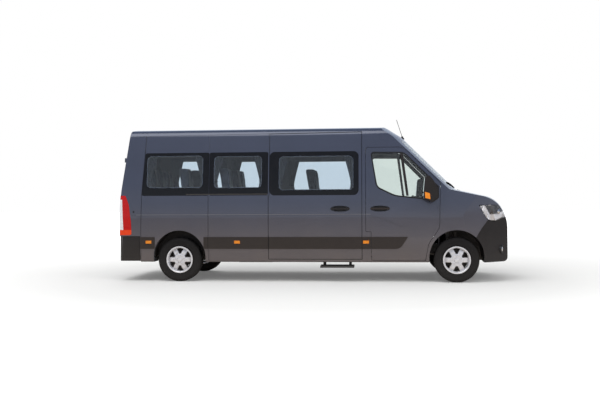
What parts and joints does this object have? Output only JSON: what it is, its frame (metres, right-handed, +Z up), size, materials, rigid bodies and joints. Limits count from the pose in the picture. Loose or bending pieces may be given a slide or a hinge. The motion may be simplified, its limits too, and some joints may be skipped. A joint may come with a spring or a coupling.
{
  "type": "minibus",
  "caption": "Long high-roofed minibus with side and rear doors, window bands, rows of high-backed seats, steered front wheels and an opening bonnet.",
  "frame": {"origin": "On the ground under the middle of the vehicle's length and width.", "axes": "+X forward along the vehicle, +Y to its left, +Z up."},
  "size_m": [6.225, 2.47, 2.6012],
  "materials": {
    "body_paint": "metallic slate grey",
    "underbody": "black stone-chip coating",
    "glass_dark": "tinted safety glass",
    "glass_clear": "clear safety glass",
    "band_black": "gloss black",
    "trim_black": "grained black",
    "tyre": "black rubber",
    "alloy": "silver paint",
    "iron": "bare casting",
    "steel": "dull exhaust steel",
    "lamp_clear": "clear lens",
    "lamp_red": "red lens",
    "lamp_amber": "amber lens",
    "seat_cloth": "dark woven cloth",
    "curtain_cloth": "dark pleated cloth",
    "cabin_trim": "dark grained moulding"
  },
  "bodies": {
    "root": {"floor": "underbody", "side_right": "body_paint", "side_left": "body_paint", "roof": "body_paint", "roof_cap": "body_paint", "front_structure": "body_paint", "windscreen": "glass_clear", "front_wings": "body_paint", "headlamps": "lamp_clear", "front_bumper": "trim_black", "grille": "band_black", "rear_bumper": "trim_black", "sliding_door": "body_paint", "sliding_handle": "trim_black", "window_bands": "band_black", "side_windows": "glass_dark", "tail_lamps": "lamp_red", "side_markers": "lamp_amber", "side_mouldings": "trim_black", "arch_liners": "trim_black", "rear_axle": "iron", "subframe": "underbody", "engine": "iron", "fuel_tank": "trim_black", "exhaust": "steel", "spare_wheel": "tyre", "dashboard": "cabin_trim", "steering_wheel": "cabin_trim", "front_seats": "seat_cloth", "passenger_seats": "seat_cloth", "seat_frames": "underbody", "curtains": "curtain_cloth", "step": "underbody", "antenna": "trim_black", "wipers": "trim_black"},
    "knuckle_right": {"knuckle_right": "iron"},
    "knuckle_left": {"knuckle_left": "iron"},
    "wheel_fr": {"tyre_front_right": "tyre", "wheel_front_right": "alloy"},
    "wheel_fl": {"tyre_front_left": "tyre", "wheel_front_left": "alloy"},
    "wheel_rr": {"tyre_rear_right": "tyre", "wheel_rear_right": "alloy"},
    "wheel_rl": {"tyre_rear_left": "tyre", "wheel_rear_left": "alloy"},
    "door_right": {"front_door_right": "body_paint", "front_glass_right": "glass_clear", "door_trim_right": "trim_black", "mirror_right": "trim_black"},
    "door_left": {"front_door_left": "body_paint", "front_glass_left": "glass_clear", "door_trim_left": "trim_black", "mirror_left": "trim_black"},
    "rear_door_right": {"rear_door_right": "body_paint", "rear_glass_right": "glass_dark"},
    "rear_door_left": {"rear_door_left": "body_paint", "rear_glass_left": "glass_dark"},
    "bonnet": {"bonnet": "body_paint"}
  },
  "joints": [
    {"name": "steer_right", "type": "hinge", "parent": "root", "child": "knuckle_right", "pos_m": [2.2435, -0.8, 0.345], "axis": [0, 0, 1], "range_deg": [-35, 35]},
    {"name": "steer_left", "type": "hinge", "parent": "root", "child": "knuckle_left", "pos_m": [2.2435, 0.8, 0.345], "axis": [0, 0, 1], "range_deg": [-35, 35]},
    {"name": "roll_front_right", "type": "hinge", "parent": "knuckle_right", "child": "wheel_fr", "pos_m": [2.2435, -0.875, 0.345], "axis": [0, 1, 0], "continuous": true},
    {"name": "roll_front_left", "type": "hinge", "parent": "knuckle_left", "child": "wheel_fl", "pos_m": [2.2435, 0.875, 0.345], "axis": [0, 1, 0], "continuous": true},
    {"name": "roll_rear_right", "type": "hinge", "parent": "root", "child": "wheel_rr", "pos_m": [-2.0885, -0.865, 0.345], "axis": [0, 1, 0], "continuous": true},
    {"name": "roll_rear_left", "type": "hinge", "parent": "root", "child": "wheel_rl", "pos_m": [-2.0885, 0.865, 0.345], "axis": [0, 1, 0], "continuous": true},
    {"name": "front_door_right", "type": "hinge", "parent": "root", "child": "door_right", "pos_m": [1.9835, -1.023, 1.04], "axis": [0, 0, 1], "range_deg": [0, 70]},
    {"name": "front_door_left", "type": "hinge", "parent": "root", "child": "door_left", "pos_m": [1.9835, 1.023, 1.04], "axis": [0, 0, -1], "range_deg": [0, 70]},
    {"name": "rear_door_right", "type": "hinge", "parent": "root", "child": "rear_door_right", "pos_m": [-3.04259, -0.808, 1.4], "axis": [0.0558, 0, 0.9984], "range_deg": [0, 180]},
    {"name": "rear_door_left", "type": "hinge", "parent": "root", "child": "rear_door_left", "pos_m": [-3.04259, 0.808, 1.4], "axis": [-0.0558, 0, -0.9984], "range_deg": [0, 180]},
    {"name": "bonnet", "type": "hinge", "parent": "root", "child": "bonnet", "pos_m": [2.3245, 0, 1.427], "axis": [0, -1, 0], "range_deg": [0, 55]}
  ],
  "couplings": [
    {"joint": "steer_left", "follows": "steer_right", "ratio": 1}
  ]
}
